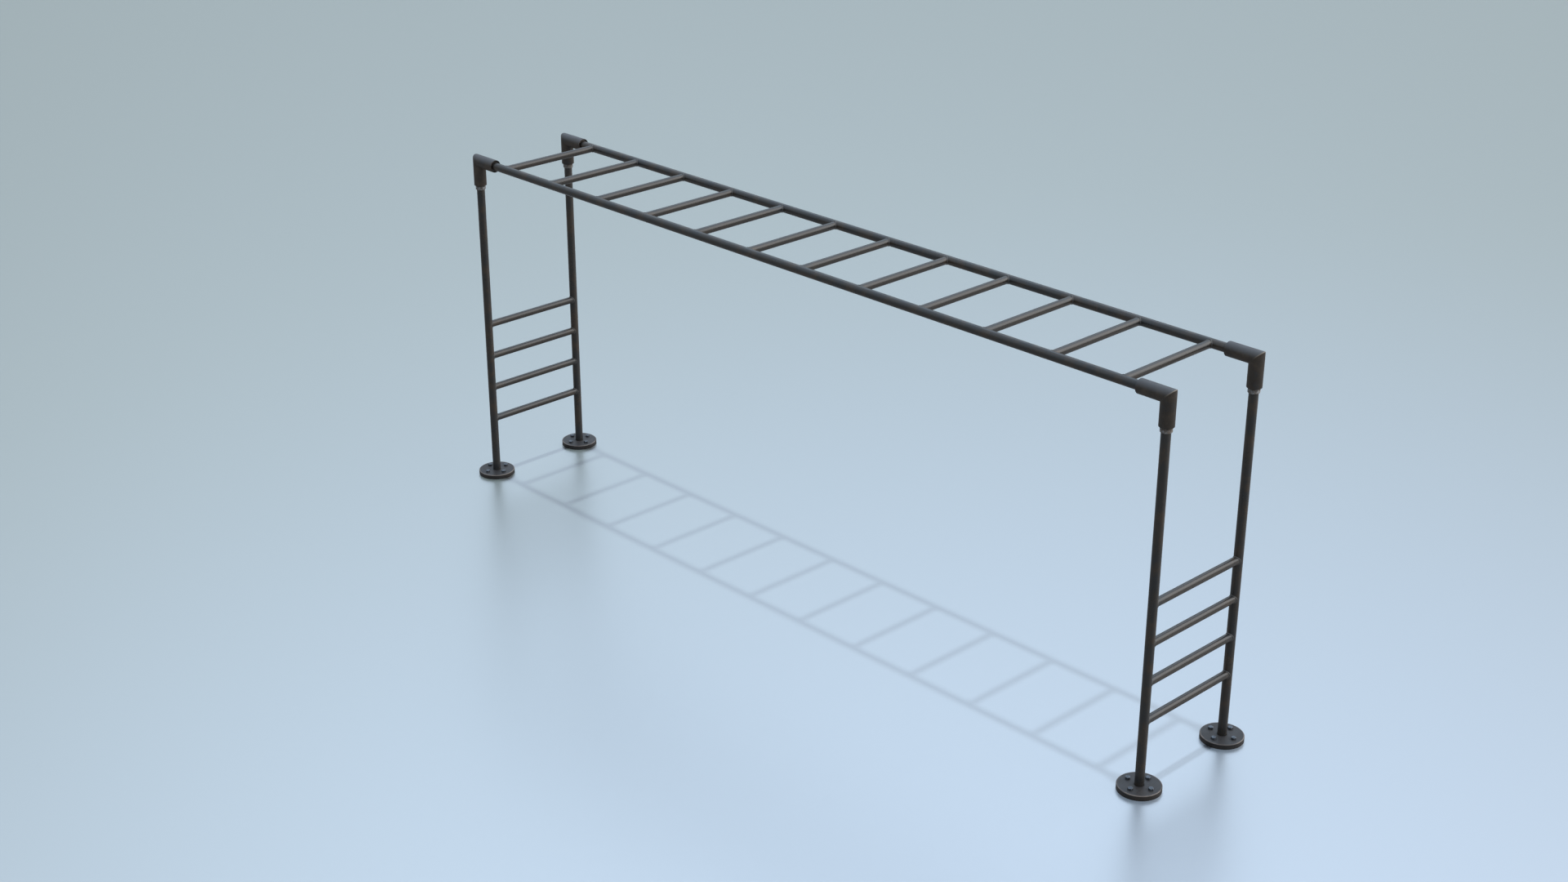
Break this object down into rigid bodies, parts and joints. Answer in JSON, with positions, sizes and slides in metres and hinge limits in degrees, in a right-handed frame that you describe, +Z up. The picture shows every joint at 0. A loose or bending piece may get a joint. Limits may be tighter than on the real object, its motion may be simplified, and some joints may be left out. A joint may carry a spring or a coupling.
{
  "type": "monkey bars",
  "caption": "Free-standing monkey bars of dark round steel tube: overhead rungs between two long rails, mitred corner elbows, end ladders and bolted round feet.",
  "frame": {"origin": "on the ground, at the middle of the four feet, which is also the centre of the anchor pattern", "axes": "+X along the rails towards the right end, +Y across the rails towards the back row, +Z up"},
  "size_m": [5.411, 0.906, 2.201],
  "materials": {
    "frame_tube": "satin graphite coating over steel tube, faint brown wear",
    "rung_tube": "satin graphite coating, worn lighter and warmer where hands grip",
    "elbow_casting": "coated casting with a fine grain",
    "bush_steel": "dull bare turned steel",
    "foot_casting": "coated casting with a fine grain and a worn edge",
    "bolt_steel": "dull zinc-blue steel"
  },
  "bodies": {
    "root": {"post_front_left": "frame_tube", "elbow_front_left": "elbow_casting", "post_bush_front_left": "bush_steel", "rail_bush_front_left": "bush_steel", "foot_plate_front_left": "foot_casting", "anchor_bolts_front_left": "bolt_steel", "post_back_left": "frame_tube", "elbow_back_left": "elbow_casting", "post_bush_back_left": "bush_steel", "rail_bush_back_left": "bush_steel", "foot_plate_back_left": "foot_casting", "anchor_bolts_back_left": "bolt_steel", "post_front_right": "frame_tube", "elbow_front_right": "elbow_casting", "post_bush_front_right": "bush_steel", "rail_bush_front_right": "bush_steel", "foot_plate_front_right": "foot_casting", "anchor_bolts_front_right": "bolt_steel", "post_back_right": "frame_tube", "elbow_back_right": "elbow_casting", "post_bush_back_right": "bush_steel", "rail_bush_back_right": "bush_steel", "foot_plate_back_right": "foot_casting", "anchor_bolts_back_right": "bolt_steel", "rail_front": "frame_tube", "rail_back": "frame_tube", "top_rung_01": "rung_tube", "top_rung_02": "rung_tube", "top_rung_03": "rung_tube", "top_rung_04": "rung_tube", "top_rung_05": "rung_tube", "top_rung_06": "rung_tube", "top_rung_07": "rung_tube", "top_rung_08": "rung_tube", "top_rung_09": "rung_tube", "top_rung_10": "rung_tube", "top_rung_11": "rung_tube", "top_rung_12": "rung_tube", "ladder_rung_left_1": "rung_tube", "ladder_rung_left_2": "rung_tube", "ladder_rung_left_3": "rung_tube", "ladder_rung_left_4": "rung_tube", "ladder_rung_right_1": "rung_tube", "ladder_rung_right_2": "rung_tube", "ladder_rung_right_3": "rung_tube", "ladder_rung_right_4": "rung_tube"}
  },
  "joints": []
}
